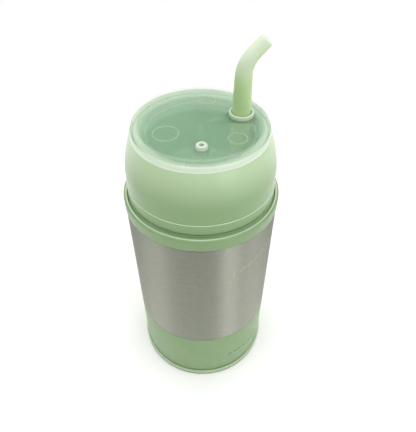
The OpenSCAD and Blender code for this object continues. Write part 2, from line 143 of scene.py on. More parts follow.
class StrawCupColours(PropertyGroup):
    """Colours of the cup's finishes."""
    sage: FloatVectorProperty(
        name="Sage plastic", description="Foot, sleeve and collar",
        default=(0.20, 0.325, 0.14), subtype="COLOR", size=3, min=0, max=1)
    # The dome colour and the darker dome colour after it are painted light and shade: lighter near the top,
    # where the light from above falls, and darker along the shaded side.
    dome: FloatVectorProperty(
        name="Dome plastic", description="Dome, at its thin upper edge",
        default=(0.49, 0.64, 0.40), subtype="COLOR", size=3, min=0, max=1)
    dome_shaded: FloatVectorProperty(
        name="Dome plastic, low", description="Dome, along its side",
        default=(0.215, 0.35, 0.152), subtype="COLOR", size=3, min=0, max=1)
    # The edge colour is a painted highlight on small edges and ledges, where they catch the light from above.
    edge: FloatVectorProperty(
        name="Edge plastic", description="Polished moulded edges, which look lighter",
        default=(0.60, 0.73, 0.53), subtype="COLOR", size=3, min=0, max=1)
    pot: FloatVectorProperty(
        name="Pot plastic", description="Snack pot inside the dome",
        default=(0.40, 0.68, 0.44), subtype="COLOR", size=3, min=0, max=1)
    milk: FloatVectorProperty(
        name="Milky plastic", description="Rim of the top lid, straw sleeve and vent",
        default=(0.66, 0.76, 0.62), subtype="COLOR", size=3, min=0, max=1)
    haze: FloatVectorProperty(
        name="Haze", description="Tint of the thin see-through plastic of the top lid",
        default=(0.315, 0.455, 0.325), subtype="COLOR", size=3, min=0, max=1)
    # The spout colour and the darker spout colour after it are painted light and shade: lighter towards the
    # tip and on upper sides that face the light above, darker low down and on the lower, shaded sides.
    spout: FloatVectorProperty(
        name="Spout silicone", description="Soft spout, near its tip",
        default=(0.67, 0.77, 0.58), subtype="COLOR", size=3, min=0, max=1)
    spout_shaded: FloatVectorProperty(
        name="Spout silicone, low", description="Soft spout, where it is thicker",
        default=(0.47, 0.65, 0.31), subtype="COLOR", size=3, min=0, max=1)
    steel: FloatVectorProperty(
        name="Steel", description="Brushed steel",
        default=(0.35, 0.362, 0.305), subtype="COLOR", size=3, min=0, max=1)
    seal: FloatVectorProperty(
        name="Seal silicone", description="Gasket and seals",
        default=(0.22, 0.36, 0.18), subtype="COLOR", size=3, min=0, max=1)


class StrawCupStudio(PropertyGroup):
    """Camera and lights."""
    lens: FloatProperty(
        name="Lens", description="Focal length on a 36 mm sensor",
        default=35.5, min=20, max=120, unit="CAMERA")
    camera_place: FloatVectorProperty(
        name="Camera place", description="Where the camera stands",
        default=(0, -0.16027, 0.26174), subtype="TRANSLATION", size=3, unit="LENGTH")
    camera_pitch: FloatProperty(
        name="Camera pitch", description="How far the camera looks down",
        default=math.radians(44.70), subtype="ANGLE")
    camera_yaw: FloatProperty(
        name="Camera yaw", description="How far the camera turns towards +X",
        default=math.radians(1.20), subtype="ANGLE")
    camera_roll: FloatProperty(
        name="Camera roll", description="How far the camera leans",
        default=math.radians(0.064), subtype="ANGLE")
    world_strength: FloatProperty(
        name="Room light", description="Brightness of the plain room", default=0.20, min=0)
    ceiling: FloatProperty(
        name="Ceiling light", description="Brightness of the large light above", default=1.85, min=0)
    strip: FloatProperty(
        name="Strip light", description="Brightness of the narrow light in front, on the right",
        default=1.9, min=0)
    sides: FloatProperty(
        name="Side lights", description="Brightness of the lights on both sides", default=1.45, min=0)
    back: FloatProperty(
        name="Back lights", description="Brightness of the two lights behind", default=1.1, min=0)


def sizes():
    return bpy.context.scene.straw_cup_sizes


def colours():
    return bpy.context.scene.straw_cup_colours


def studio():
    return bpy.context.scene.straw_cup_studio


# ---------------------------------------------------------------- finishes
class Finish:
    """A material with a principled shader, whose pattern reads the piece's own coordinates."""

    def __init__(self, name, colour, roughness, metallic=0.0, **fixed):
        self.material = bpy.data.materials.get(name) or bpy.data.materials.new(name)
        self.material.use_nodes = True
        self.tree = self.material.node_tree
        self.tree.nodes.clear()
        self.output = self.tree.nodes.new("ShaderNodeOutputMaterial")
        self.shader = self.tree.nodes.new("ShaderNodeBsdfPrincipled")
        self.tree.links.new(self.shader.outputs["BSDF"], self.output.inputs["Surface"])
        self.shader.inputs["Base Color"].default_value = (*colour, 1)
        self.shader.inputs["Roughness"].default_value = roughness
        self.shader.inputs["Metallic"].default_value = metallic
        for socket, value in fixed.items():
            self.shader.inputs[socket.replace("_", " ")].default_value = value
        self.coordinates = self.tree.nodes.new("ShaderNodeTexCoord")

    def add(self, kind, **inputs):
        made = self.tree.nodes.new(kind)
        for socket, value in inputs.items():
            made.inputs[socket.replace("_", " ")].default_value = value
        return made

    def link(self, source, target):
        self.tree.links.new(source, target)

    def stretched(self, scale):
        """Object coordinates, stretched along an axis."""
        mapping = self.add("ShaderNodeMapping", Scale=scale)
        self.link(self.coordinates.outputs["Object"], mapping.inputs["Vector"])
        return mapping.outputs["Vector"]

    def noise(self, scale, detail=2.0, roughness=0.5, stretch=(1, 1, 1)):
        texture = self.add("ShaderNodeTexNoise", Scale=scale, Detail=detail, Roughness=roughness)
        self.link(self.stretched(stretch), texture.inputs["Vector"])
        return texture.outputs["Fac"]

    def ramp(self, source, low_value, high_value):
        """Carries the middle of a 0 to 1 pattern over to low_value to high_value."""
        spread = self.add(
            "ShaderNodeMapRange", From_Min=0.3, From_Max=0.7, To_Min=low_value, To_Max=high_value)
        self.link(source, spread.inputs["Value"])
        return spread.outputs["Result"]

    def smooth_rise(self, source, start, end):
        """Carries a value over to 0 at start and 1 at end, with a soft change between them."""
        rise = self.add("ShaderNodeMapRange", From_Min=start, From_Max=end)
        rise.interpolation_type = "SMOOTHSTEP"
        self.link(source, rise.inputs["Value"])
        return rise.outputs["Result"]

    def vary_colour(self, source, dark, light):
        mix = self.add("ShaderNodeMix")
        mix.data_type = "RGBA"
        self.link(source, mix.inputs["Factor"])
        mix.inputs["A"].default_value = (*dark, 1)
        mix.inputs["B"].default_value = (*light, 1)
        self.link(mix.outputs["Result"], self.shader.inputs["Base Color"])

    def vary_roughness(self, source, low_value, high_value):
        self.link(self.ramp(source, low_value, high_value), self.shader.inputs["Roughness"])

    def bump(self, source, strength, distance):
        node = self.add("ShaderNodeBump", Strength=strength, Distance=distance)
        previous = self.shader.inputs["Normal"]
        if previous.is_linked:
            self.link(previous.links[0].from_socket, node.inputs["Normal"])
        self.link(source, node.inputs["Height"])
        self.link(node.outputs["Normal"], self.shader.inputs["Normal"])


def shade(colour, factor):
    return tuple(min(1.0, c * factor) for c in colour)


def blend_colours(a, b, share):
    return tuple(x + (y - x) * share for x, y in zip(a, b))


def moulded_plastic(name, colour, roughness, grain=1.0, coat=0.0):
    """Injection-moulded plastic: a faint flow mottle, fine tool grain and uneven gloss."""
    finish = Finish(name, colour, roughness, Coat_Weight=coat, Coat_Roughness=0.2, IOR=1.49)
    mottle = finish.noise(55, detail=3, stretch=(1, 1, 0.6))
    finish.vary_colour(finish.ramp(mottle, 0, 1), shade(colour, 0.965), shade(colour, 1.035))
    grain_pattern = finish.noise(2600, detail=2, roughness=0.6)
    gloss = finish.noise(240, detail=3)
    finish.vary_roughness(gloss, roughness * 0.88, roughness * 1.15)
    finish.bump(grain_pattern, 0.10 * grain, 0.00008)
    finish.bump(finish.noise(70, detail=1), 0.05 * grain, 0.0004)
    return finish


def brushed_steel(name, colour, roughness):
    """Steel brushed round the cup, with fine scratches and a faint satin mottle."""
    finish = Finish(name, colour, roughness, metallic=1.0, Anisotropic=0.95, Anisotropic_Rotation=0.25)
    stretch = (0.03, 0.03, 1)
    fine = finish.noise(9000, detail=2, roughness=0.7, stretch=stretch)
    lines = finish.noise(2600, detail=3, roughness=0.6, stretch=stretch)
    satin = finish.noise(700, detail=4, roughness=0.7)
    finish.vary_colour(finish.ramp(lines, 0, 1), shade(colour, 0.95), shade(colour, 1.05))
    finish.vary_roughness(satin, roughness * 0.85, roughness * 1.2)
    finish.bump(fine, 0.10, 0.00004)
    finish.bump(lines, 0.05, 0.00006)
    finish.bump(satin, 0.05, 0.00010)
    tangent = finish.add("ShaderNodeTangent")
    tangent.direction_type = "RADIAL"
    tangent.axis = "Z"
    finish.link(tangent.outputs["Tangent"], finish.shader.inputs["Tangent"])
    return finish.material


def milky_plastic(name, colour, roughness, alpha, cloud=0.04):
    """Translucent plastic with faint clouding from the mould."""
    finish = Finish(name, colour, roughness, Alpha=alpha, IOR=1.49)
    cloud_pattern = finish.noise(90, detail=3, roughness=0.55)
    finish.vary_colour(finish.ramp(cloud_pattern, 0, 1), shade(colour, 1 - cloud), shade(colour, 1 + cloud))
    finish.vary_roughness(finish.noise(420, detail=3), roughness * 0.85, roughness * 1.2)
    finish.bump(finish.noise(1900, detail=2, roughness=0.6), 0.06, 0.00006)
    return finish.material


def soft_silicone(name, colour, roughness, alpha=1.0):
    """Silicone: matte, with a powdery sheen and slight waviness."""
    finish = Finish(name, colour, roughness, Alpha=alpha, Sheen_Weight=0.15, Sheen_Roughness=0.5, IOR=1.43)
    mottle = finish.noise(160, detail=3)
    finish.vary_colour(finish.ramp(mottle, 0, 1), shade(colour, 0.97), shade(colour, 1.03))
    finish.vary_roughness(finish.noise(600, detail=2), roughness * 0.9, roughness * 1.12)
    finish.bump(finish.noise(3200, detail=2, roughness=0.6), 0.07, 0.00005)
    finish.bump(finish.noise(220, detail=1), 0.05, 0.00025)
    return finish


def painted_shade_blend(finish, shaded_colour, z0, z1, attribute=""):
    """Paints light and shade into the base colour: it blends from a darker, shaded colour at z0 to the
    finish's own, lit colour at z1.

    With an attribute that says how far a piece faces up, its lower sides keep the shaded colour, as painted
    shade.
    """
    split = finish.add("ShaderNodeSeparateXYZ")
    finish.link(finish.coordinates.outputs["Object"], split.inputs["Vector"])
    share = finish.smooth_rise(split.outputs["Z"], z0, z1)
    if attribute:
        facing = finish.add("ShaderNodeAttribute")
        facing.attribute_name = attribute
        both = finish.add("ShaderNodeMath")
        both.operation = "MULTIPLY"
        finish.link(share, both.inputs[0])
        finish.link(finish.smooth_rise(facing.outputs["Fac"], -0.50, 0.15), both.inputs[1])
        share = both.outputs["Value"]
    base = finish.shader.inputs["Base Color"]
    mix = finish.add("ShaderNodeMix")
    mix.data_type = "RGBA"
    mix.inputs["A"].default_value = (*shaded_colour, 1)
    finish.link(share, mix.inputs["Factor"])
    finish.link(base.links[0].from_socket, mix.inputs["B"])
    finish.link(mix.outputs["Result"], base)


def sage_plastic():
    return moulded_plastic("sage_plastic", colours().sage, 0.42, coat=0.22).material


def dome_plastic():
    finish = moulded_plastic("dome_plastic", colours().dome, 0.32, grain=0.7, coat=0.25)
    # Painted light and shade: darker along the dome's side, lighter towards its top, for the light from
    # above.
    painted_shade_blend(finish, colours().dome_shaded, DOME_LOW + 11 * MM, DOME_TOP + 2 * MM)
    return finish.material


def edge_highlight_plastic():
    # A lighter, glossy colour for painted highlights on small edges and ledges.
    return moulded_plastic("edge_highlight_plastic", colours().edge, 0.22, grain=0.4, coat=0.4).material


def foot_highlight_plastic():
    # Painted highlight on the foot's rounded upper shoulder.
    light = blend_colours(colours().sage, colours().edge, 0.45)
    return moulded_plastic("foot_highlight_plastic", light, 0.3, grain=0.5, coat=0.35).material


def pot_plastic():
    return moulded_plastic("pot_plastic", colours().pot, 0.45, grain=0.6).material


def pot_highlight_plastic():
    # Painted highlight for the pot's step and upper edge, lighter than the pot's own colour.
    light = blend_colours(colours().pot, colours().milk, 0.6)
    return moulded_plastic("pot_highlight", light, 0.35, grain=0.4).material


def pot_rim_highlight_plastic():
    # Painted highlight on the top of the pot's rim.
    light = shade(colours().milk, 1.45)
    return moulded_plastic("pot_rim_highlight", light, 0.35, grain=0.4).material


def outer_steel():
    return brushed_steel("outer_steel", colours().steel, 0.48)


def inner_steel():
    return brushed_steel("inner_steel", shade(colours().steel, 1.5), 0.24)


def plate_plastic():
    return milky_plastic("lid_plate", colours().haze, 0.20, 0.45)


def crown_plastic():
    return milky_plastic("lid_crown", blend_colours(colours().haze, colours().milk, 0.7), 0.25, 0.30)


def clear_plastic():
    return milky_plastic("lid_plug", colours().milk, 0.25, 0.03)


def rim_plastic():
    return milky_plastic("lid_wall", shade(colours().milk, 1.2), 0.35, 0.72)


def mark_plastic():
    return milky_plastic("lid_marks", colours().milk, 0.30, 0.32)


def tube_plastic():
    return milky_plastic("milky_tube", colours().milk, 0.30, 0.06)


def tube_end_plastic():
    return milky_plastic("milky_tube_end", shade(colours().milk, 0.92), 0.30, 0.85)


def straw_plastic():
    return milky_plastic("straw_plastic", colours().milk, 0.28, 0.35)


def spout_silicone():
    finish = soft_silicone("spout_silicone", colours().spout, 0.42)
    # Painted light and shade: darker low on the spout and on its lower sides, lighter towards the tip's upper
    # side, for the light from above.
    painted_shade_blend(finish, colours().spout_shaded, LID_TOP + 13 * MM, LID_TOP + 27 * MM, FACES_UP)
    return finish.material


def seal_silicone():
    return soft_silicone("seal_silicone", colours().seal, 0.55).material


def clear_silicone():
    return soft_silicone("clear_silicone", colours().milk, 0.5, 0.6).material


def thin_silicone():
    return soft_silicone("thin_silicone", colours().milk, 0.4, 0.03).material


def print_ink(name, colour):
    """A printed ink: flat and matte, with slightly uneven cover."""
    finish = Finish(name, colour, 0.5)
    cover = finish.noise(1500, detail=3)
    finish.vary_colour(finish.ramp(cover, 0, 1), shade(colour, 0.85), shade(colour, 1.15))
    finish.vary_roughness(finish.noise(900, detail=2), 0.42, 0.60)
    return finish.material


# ---------------------------------------------------------------- meshes
def added(builder, before):
    """The vertices that a builder holds beyond those in before."""
    return [v for v in builder.verts if v not in before]


def wire(builder, outline):
    """A closed outline in the XZ plane. Each of its points is a radius, a height and a corner radius."""
    points = [builder.verts.new((r, 0, z)) for r, z, _ in outline]
    for a, b in zip(points, points[1:] + points[:1]):
        builder.edges.new((a, b))
    for point, (_, _, corner) in zip(points, outline):
        if corner:
            bmesh.ops.bevel(
                builder, geom=[point], offset=corner, offset_type="OFFSET", segments=4,
                profile=0.5, affect="VERTICES", material=-1)


def lathe(builder, outline, centre=(0, 0, 0), steps=LATHE_STEPS):
    """Turns an outline into a closed ring or disc about a vertical axis through centre."""
    before = set(builder.verts)
    wire(builder, outline)
    line = added(builder, before)
    edges = list({e for v in line for e in v.link_edges})
    bmesh.ops.translate(builder, verts=line, vec=centre)
    bmesh.ops.spin(
        builder, geom=line + edges, axis=(0, 0, 1), cent=centre, dvec=(0, 0, 0),
        angle=math.tau, steps=steps, use_merge=True)
    bmesh.ops.remove_doubles(builder, verts=added(builder, before), dist=MERGE)
    made = added(builder, before)
    loose = list({e for v in made for e in v.link_edges if not e.link_faces})
    if loose:
        bmesh.ops.delete(builder, geom=loose, context="EDGES")
    faces = list({f for v in made if v.is_valid for f in v.link_faces})
    bmesh.ops.recalc_face_normals(builder, faces=faces)


def finished(name, builder, material, body, stands_for=()):
    """Makes the object, smooth but for its hard edges, and ties it to its body."""
    mesh = bpy.data.meshes.new(name)
    builder.to_mesh(mesh)
    builder.free()
    for polygon in mesh.polygons:
        polygon.use_smooth = True
    mesh.set_sharp_from_angle(angle=SMOOTH_ANGLE)
    mesh.materials.append(material)
    piece = bpy.data.objects.new(name, mesh)
    bpy.context.scene.collection.objects.link(piece)
    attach(piece, body)
    if stands_for:
        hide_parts(*stands_for)
    return piece


def turned(name, outline, material, body, stands_for=(), centre=(0, 0, 0), steps=LATHE_STEPS):
    builder = bmesh.new()
    lathe(builder, outline, centre, steps)
    return finished(name, builder, material, body, stands_for)


def edge_loop(builder, place, across):
    """Cuts an edge loop into the whole mesh, in the plane through place that is square to across."""
    bmesh.ops.bisect_plane(
        builder, geom=builder.verts[:] + builder.edges[:] + builder.faces[:], plane_co=place, plane_no=across)


def smoothed_copy(node, name, material, body, cuts=()):
    """A merged, smooth copy of a CAD node, which stands for it, with edge loops at the heights in cuts."""
    builder = bmesh.new()
    builder.from_mesh(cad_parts[node].data)
    bmesh.ops.remove_doubles(builder, verts=builder.verts, dist=CAD_MERGE)
    for height in cuts:
        edge_loop(builder, (0, 0, height), (0, 0, 1))
    return finished(name, builder, material, body, (node,))


def zone(piece, material, belongs):
    """Gives the faces whose centre belongs to a zone a material of their own."""
    index = len(piece.data.materials)
    piece.data.materials.append(material)
    for polygon in piece.data.polygons:
        if belongs(polygon.center):
            polygon.material_index = index


def cut(piece, cutters):
    """Cuts closed shapes out of a piece and keeps the result as its mesh."""
    tools = []
    for index, builder in enumerate(cutters):
        mesh = bpy.data.meshes.new(f"cutter_{index}")
        builder.to_mesh(mesh)
        builder.free()
        tool = bpy.data.objects.new(f"cutter_{index}", mesh)
        bpy.context.scene.collection.objects.link(tool)
        modifier = piece.modifiers.new(f"cut_{index}", "BOOLEAN")
        modifier.operation = "DIFFERENCE"
        modifier.solver = "EXACT"
        modifier.object = tool
        tools.append(tool)
    bpy.context.view_layer.update()
    graph = bpy.context.evaluated_depsgraph_get()
    result = bpy.data.meshes.new_from_object(piece.evaluated_get(graph))
    piece.modifiers.clear()
    old = piece.data
    piece.data = result
    result.name = old.name
    bpy.data.meshes.remove(old)
    for tool in tools:
        mesh = tool.data
        bpy.data.objects.remove(tool)
        bpy.data.meshes.remove(mesh)


def pin(centre, pin_radius, z0, z1):
    """A closed upright pin, as a cutter."""
    builder = bmesh.new()
    bmesh.ops.create_cone(
        builder, cap_ends=True, segments=SMALL_STEPS, radius1=pin_radius, radius2=pin_radius, depth=z1 - z0,
        matrix=Matrix.Translation((centre[0], centre[1], (z0 + z1) / 2)))
    return builder


# ---------------------------------------------------------------- steel body
def build_steel_body():
    sleeve_wall = 1.35 * MM
    waist = radius("base_sleeve") - sleeve_wall
    bottom = low("outer_shell").z
    wall = 0.8 * MM
    step = SLEEVE_TOP + 0.2 * MM
    liner = radius("inner_liner")
    plate = radius("bottom_plate")
    outline = [
        (plate, bottom, 0), (waist, bottom, 2.9 * MM), (waist, step, 0), (CUP_R, step, 0.22 * MM),
        (CUP_R, STEEL_TOP, 0.6 * MM), (liner, STEEL_TOP, 0), (liner, STEEL_TOP - wall, 0),
        (CUP_R - wall, STEEL_TOP - wall, 0), (CUP_R - wall, step + wall, 0), (waist - wall, step + wall, 0),
        (waist - wall, bottom + wall, 2.1 * MM), (plate, bottom + wall, 0),
    ]
    turned("steel_shell", outline, outer_steel(), "cup", ("outer_shell",))
    smoothed_copy("inner_liner", "steel_liner", inner_steel(), "cup")
    smoothed_copy("bottom_plate", "steel_bottom", outer_steel(), "cup")
    smoothed_copy("vacuum_plug", "steel_plug", inner_steel(), "cup")


# ---------------------------------------------------------------- base
def build_base():
    soft = sizes().edge_round
    top = high("foot_ring").z
    inner = radius("base_sleeve") - 1.3 * MM
    hole = 24 * MM
    seat = low("outer_shell").z - 0.05 * MM
    groove = 1.3 * MM
    lip = 0.15 * MM
    shoulder = 0.7 * MM
    foot = [
        (hole, 0.35 * MM, 0.1 * MM), (hole + 1.2 * MM, 0, 0.3 * MM), (FOOT_R, 0, 0.55 * MM),
        (FOOT_R, groove - lip, 0.12 * MM), (FOOT_R - 0.16 * MM, groove, 0), (FOOT_R, groove + lip, 0.12 * MM),
        (FOOT_R, top, shoulder), (inner - 0.35 * MM, top, 0.1 * MM),
        (inner - 1.6 * MM, seat + 0.45 * MM, 0.4 * MM), (inner - 3.1 * MM, seat, 0.6 * MM),
        (hole, seat, 0.1 * MM),
    ]
    ring = turned("foot_ring_moulded", foot, sage_plastic(), "cup", ("foot_ring",))
    # Painted highlight along the foot's upper shoulder.
    zone(ring, foot_highlight_plastic(), lambda c: c.z > groove + 0.2 * MM and c.xy.length > FOOT_R - shoulder)
    sleeve = [
        (inner, low("base_sleeve").z, 0), (CUP_R, low("base_sleeve").z, 0.4 * MM),
        (CUP_R, SLEEVE_TOP, soft), (inner, SLEEVE_TOP, 0),
    ]
    turned("base_sleeve_moulded", sleeve, sage_plastic(), "cup", ("base_sleeve",))


# ---------------------------------------------------------------- printed marks
def bar(builder, along, height, length, thick, lean=0.0):
    """A flat rounded bar, standing in the XZ plane and centred at along, height."""
    before = set(builder.verts)
    made = bmesh.ops.create_cube(builder, size=1)["verts"]
    bmesh.ops.scale(builder, verts=made, vec=(length, PRINT, thick))
    corners = {e for v in made for e in v.link_edges if abs(e.verts[0].co.y - e.verts[1].co.y) > PRINT / 2}
    bmesh.ops.bevel(
        builder, geom=list(corners), offset=min(length, thick) * 0.45, offset_type="OFFSET", segments=3,
        profile=0.5, affect="EDGES", material=-1)
    made = added(builder, before)
    bmesh.ops.rotate(builder, verts=made, cent=(0, 0, 0), matrix=Matrix.Rotation(lean, 3, "Y"))
    bmesh.ops.translate(builder, verts=made, vec=(along, 0, height))


def hoop(builder, along, height, outer, inner):
    """A flat ring, standing in the XZ plane and centred at along, height."""
    before = set(builder.verts)
    half = PRINT / 2
    lathe(builder, [(inner, -half, 0), (outer, -half, 0), (outer, half, 0), (inner, half, 0)], steps=32)
    made = added(builder, before)
    bmesh.ops.rotate(builder, verts=made, cent=(0, 0, 0), matrix=Matrix.Rotation(math.pi / 2, 3, "X"))
    bmesh.ops.translate(builder, verts=made, vec=(along, 0, height))


def wrapped(name, builder, material, around, start):
    """Bends a flat print round the cup: its X runs along the side from the angle start."""
    length = max(v.co.x for v in builder.verts)
    for index in range(math.ceil(length / PRINT_STEP)):
        edge_loop(builder, (index * PRINT_STEP, 0, 0), (1, 0, 0))
    for vert in builder.verts:
        angle = start + vert.co.x / around
        reach = around - vert.co.y
        vert.co = (reach * math.cos(angle), reach * math.sin(angle), vert.co.z)
    bmesh.ops.recalc_face_normals(builder, faces=builder.faces)
    finished(name, builder, material, "cup")


def build_marks():
    """A row of plain rounded strokes on the steel, and a small ring with dashes on the sleeve."""
    stroke_line = 98.8 * MM
    stroke_pitch = 4.3 * MM
    climb = 1 * MM
    builder = bmesh.new()
    bar(builder, 1.2 * MM, stroke_line - 1.2 * MM, 0.9 * MM, 5.6 * MM)
    for index in range(4):
        bar(builder, 6 * MM + stroke_pitch * index, stroke_line + climb * index, 1.1 * MM, 4.4 * MM,
            math.radians(34))
    bar(builder, 24.6 * MM, stroke_line + 4.8 * MM, 4.4 * MM, 0.9 * MM, math.radians(-30))
    green = print_ink("ink_green", (0.33, 0.40, 0.28))
    wrapped("print_on_steel", builder, green, CUP_R, math.radians(-68))

    dash_line = 18.2 * MM
    dash_gap = 0.55 * MM
    dash_height = 0.8 * MM
    ring = 1.1 * MM
    builder = bmesh.new()
    hoop(builder, ring, dash_line, ring, ring - 0.3 * MM)
    along = 3.6 * MM
    for length in (1.6, 0.9, 1.3, 0.7, 1.5, 1.1, 0.8, 1.4, 0.9, 1.2, 0.7, 1.5):
        bar(builder, along + length * MM / 2, dash_line, length * MM, dash_height)
        along += length * MM + dash_gap
    dark = print_ink("ink_dark", (0.035, 0.06, 0.035))
    wrapped("print_on_sleeve", builder, dark, CUP_R, math.radians(-66))


# ---------------------------------------------------------------- collar
def build_collar():
    line = COLLAR_TOP - 0.5 * MM
    collar = smoothed_copy("neck_collar", "collar_moulded", sage_plastic(), "cup", (line,))
    # Painted highlight along the collar's top inner edge.
    zone(collar, edge_highlight_plastic(), lambda c: c.z > line and c.xy.length < COLLAR_R - 0.8 * MM)
    smoothed_copy("neck_gasket", "gasket_moulded", clear_silicone(), "gasket")


# ---------------------------------------------------------------- lid base
def build_lid_base():
    smoothed_copy("lid_base", "lid_base_moulded", sage_plastic(), "lid")
    smoothed_copy("dome_seal", "dome_seal_ring", seal_silicone(), "lid")


# ---------------------------------------------------------------- dome
def build_dome():
    look = sizes()
    wall = look.dome_wall
    side = BAND_R - 0.25 * MM
    band_top = DOME_LOW + look.band_height
    shoulder = DOME_LOW + look.straight_height
    drawn_in = side - LID_R
    ledge = radius("snack_pot") - 1.85 * MM
    under = DOME_TOP - 1.6 * MM
    count = look.shoulder_rings

    def curve(inset, top, index):
        """A point of the shoulder, which draws in ever faster on its way up to top."""
        share = index / count
        reach = side - inset - drawn_in * share ** look.shoulder_power
        return (reach, shoulder + share * (top - shoulder), 0)

    outline = [
        (side - wall, DOME_LOW, 0.2 * MM), (BAND_R, DOME_LOW, 0.4 * MM), (BAND_R, band_top, 0.2 * MM),
        (side, band_top, 0),
    ]
    outline += [curve(0, DOME_TOP, i) for i in range(count + 1)]
    outline += [(ledge, DOME_TOP, 0.2 * MM), (ledge, under, 0.2 * MM)]
    outline += [curve(wall, under, i) for i in range(count, -1, -1)]
    dome = turned("dome_moulded", outline, dome_plastic(), "lid", ("dome_shell",))
    # Painted highlight: a light line on the ledge at the top of the dome's band.
    bright = 0.25 * MM
    zone(dome, edge_highlight_plastic(), lambda c: abs(c.z - band_top) < bright and c.xy.length > side - 0.01 * MM)


# ---------------------------------------------------------------- snack pot
def build_snack_pot():
    step = low("top_lid").z - 5.35 * MM
    edges = (step - 0.45 * MM, step + 0.55 * MM)
    pot = smoothed_copy("snack_pot", "snack_pot_moulded", pot_plastic(), "lid", edges)
    flange = radius("snack_pot")
    # Painted highlights on the pot's upper edge and on its step.
    zone(pot, pot_highlight_plastic(), lambda c: c.z > DOME_TOP - MM or abs(c.z - step) < 0.6 * MM)
    # Painted highlight on the top of the pot's rim.
    zone(pot, pot_rim_highlight_plastic(), lambda c: c.z > DOME_TOP and c.xy.length > flange - 0.9 * MM)


# ---------------------------------------------------------------- sleeve and vent
def tube(name, node, centre, bore, end_rounding, bright_end, narrowing=0.0):
    """An open milky tube whose upper end is denser, and narrower if it is given a narrowing."""
    outer, bottom, top = radius(node), low(node).z, high(node).z
    tip = outer - narrowing
    outline = [
        (bore, bottom, 0), (outer, bottom, 0), (outer, top - bright_end, 0), (tip, top, end_rounding),
        (bore, top, end_rounding), (bore, top - bright_end, 0),
    ]
    piece = turned(name, outline, tube_plastic(), "lid", (node,), centre, SMALL_STEPS)
    zone(piece, tube_end_plastic(), lambda c: c.z > top - bright_end)


def build_sleeve_and_vent():
    sleeve_bore = radius("straw_sleeve") - 1.125 * MM
    vent_bore = 1 * MM
    rounding = 0.5 * MM
    bright_end = 1.6 * MM
    tube("straw_sleeve_moulded", "straw_sleeve", STRAW_AXIS, sleeve_bore, rounding, bright_end)
    tube("vent_tube_moulded", "vent_tube", VENT_AXIS, vent_bore, rounding, bright_end, 0.45 * MM)
    smoothed_copy("straw_seal", "straw_wiper_seal", clear_silicone(), "lid")
    smoothed_copy("vent_valve", "vent_valve_moulded", clear_silicone(), "lid")


# ---------------------------------------------------------------- top lid
def build_top_lid():
    plug_low = low("top_lid").z
    foot = plug_low + 0.85 * MM
    wall_top = foot + 3 * MM
    plate = LID_TOP - 1.4 * MM
    under = plate - 1.6 * MM
    plug = radius("lid_seal") - 1.02 * MM
    plug_wall = 1.2 * MM
    side = LID_R - 1.65 * MM
    crown = LID_R - 1.45 * MM
    hollow = crown - 2.7 * MM
    outline = [
        (0, under, 0), (plug - plug_wall, under, 0.3 * MM), (plug - plug_wall, plug_low, 0.35 * MM),
        (plug, plug_low, 0.35 * MM), (plug, under, 0.3 * MM), (side, under, 0.9 * MM),
        (side, foot, 0.15 * MM), (LID_R, foot, 0.25 * MM), (LID_R - 0.25 * MM, foot + 1.5 * MM, 0.4 * MM),
        (LID_R - 0.8 * MM, wall_top, 0), (crown, LID_TOP, 0.8 * MM),
        (crown - 1.9 * MM, LID_TOP, 0.7 * MM), (hollow, plate, 0.5 * MM), (0, plate, 0),
    ]
    piece = turned("top_lid_moulded", outline, crown_plastic(), "top_lid", ("top_lid",))
    zone(piece, plate_plastic(), lambda c: c.xy.length < hollow + 0.1 * MM and c.z > plate - 0.1 * MM)
    zone(piece, clear_plastic(), lambda c: c.xy.length < side - 0.2 * MM and c.z < plate - 0.1 * MM)
    zone(piece, mark_plastic(), lambda c: c.z < plug_low + 0.35 * MM)
    zone(piece, rim_plastic(), lambda c: c.xy.length > side + 0.2 * MM and c.z < wall_top)
    cut(piece, [
        pin(axis, radius(node) + BORE_GAP, plug_low - MM, LID_TOP + MM)
        for axis, node in ((STRAW_AXIS, "straw_sleeve"), (VENT_AXIS, "vent_tube"))
    ])
    smoothed_copy("lid_seal", "lid_seal_ring", thin_silicone(), "top_lid")
    build_lid_rings(plate)


def build_lid_rings(plate):
    """Three fine moulded rings that stand out of the plate."""
    foot, top = plate + 0.01 * MM, plate + 0.12 * MM
    broad, narrow = 0.15, 0.10    # half the ring's width at its foot and at its top
    builder = bmesh.new()
    for size, reach, azimuth in ((4.1, 19.6, 81), (5.5, 17, 210), (4, 20, 321)):
        angle = math.radians(azimuth)
        centre = (reach * MM * math.cos(angle), reach * MM * math.sin(angle), 0)
        section = [
            ((size - broad) * MM, foot, 0), ((size + broad) * MM, foot, 0),
            ((size + narrow) * MM, top, 0), ((size - narrow) * MM, top, 0),
        ]
        lathe(builder, section, centre, SMALL_STEPS)
    finished("lid_mould_rings", builder, mark_plastic(), "top_lid")


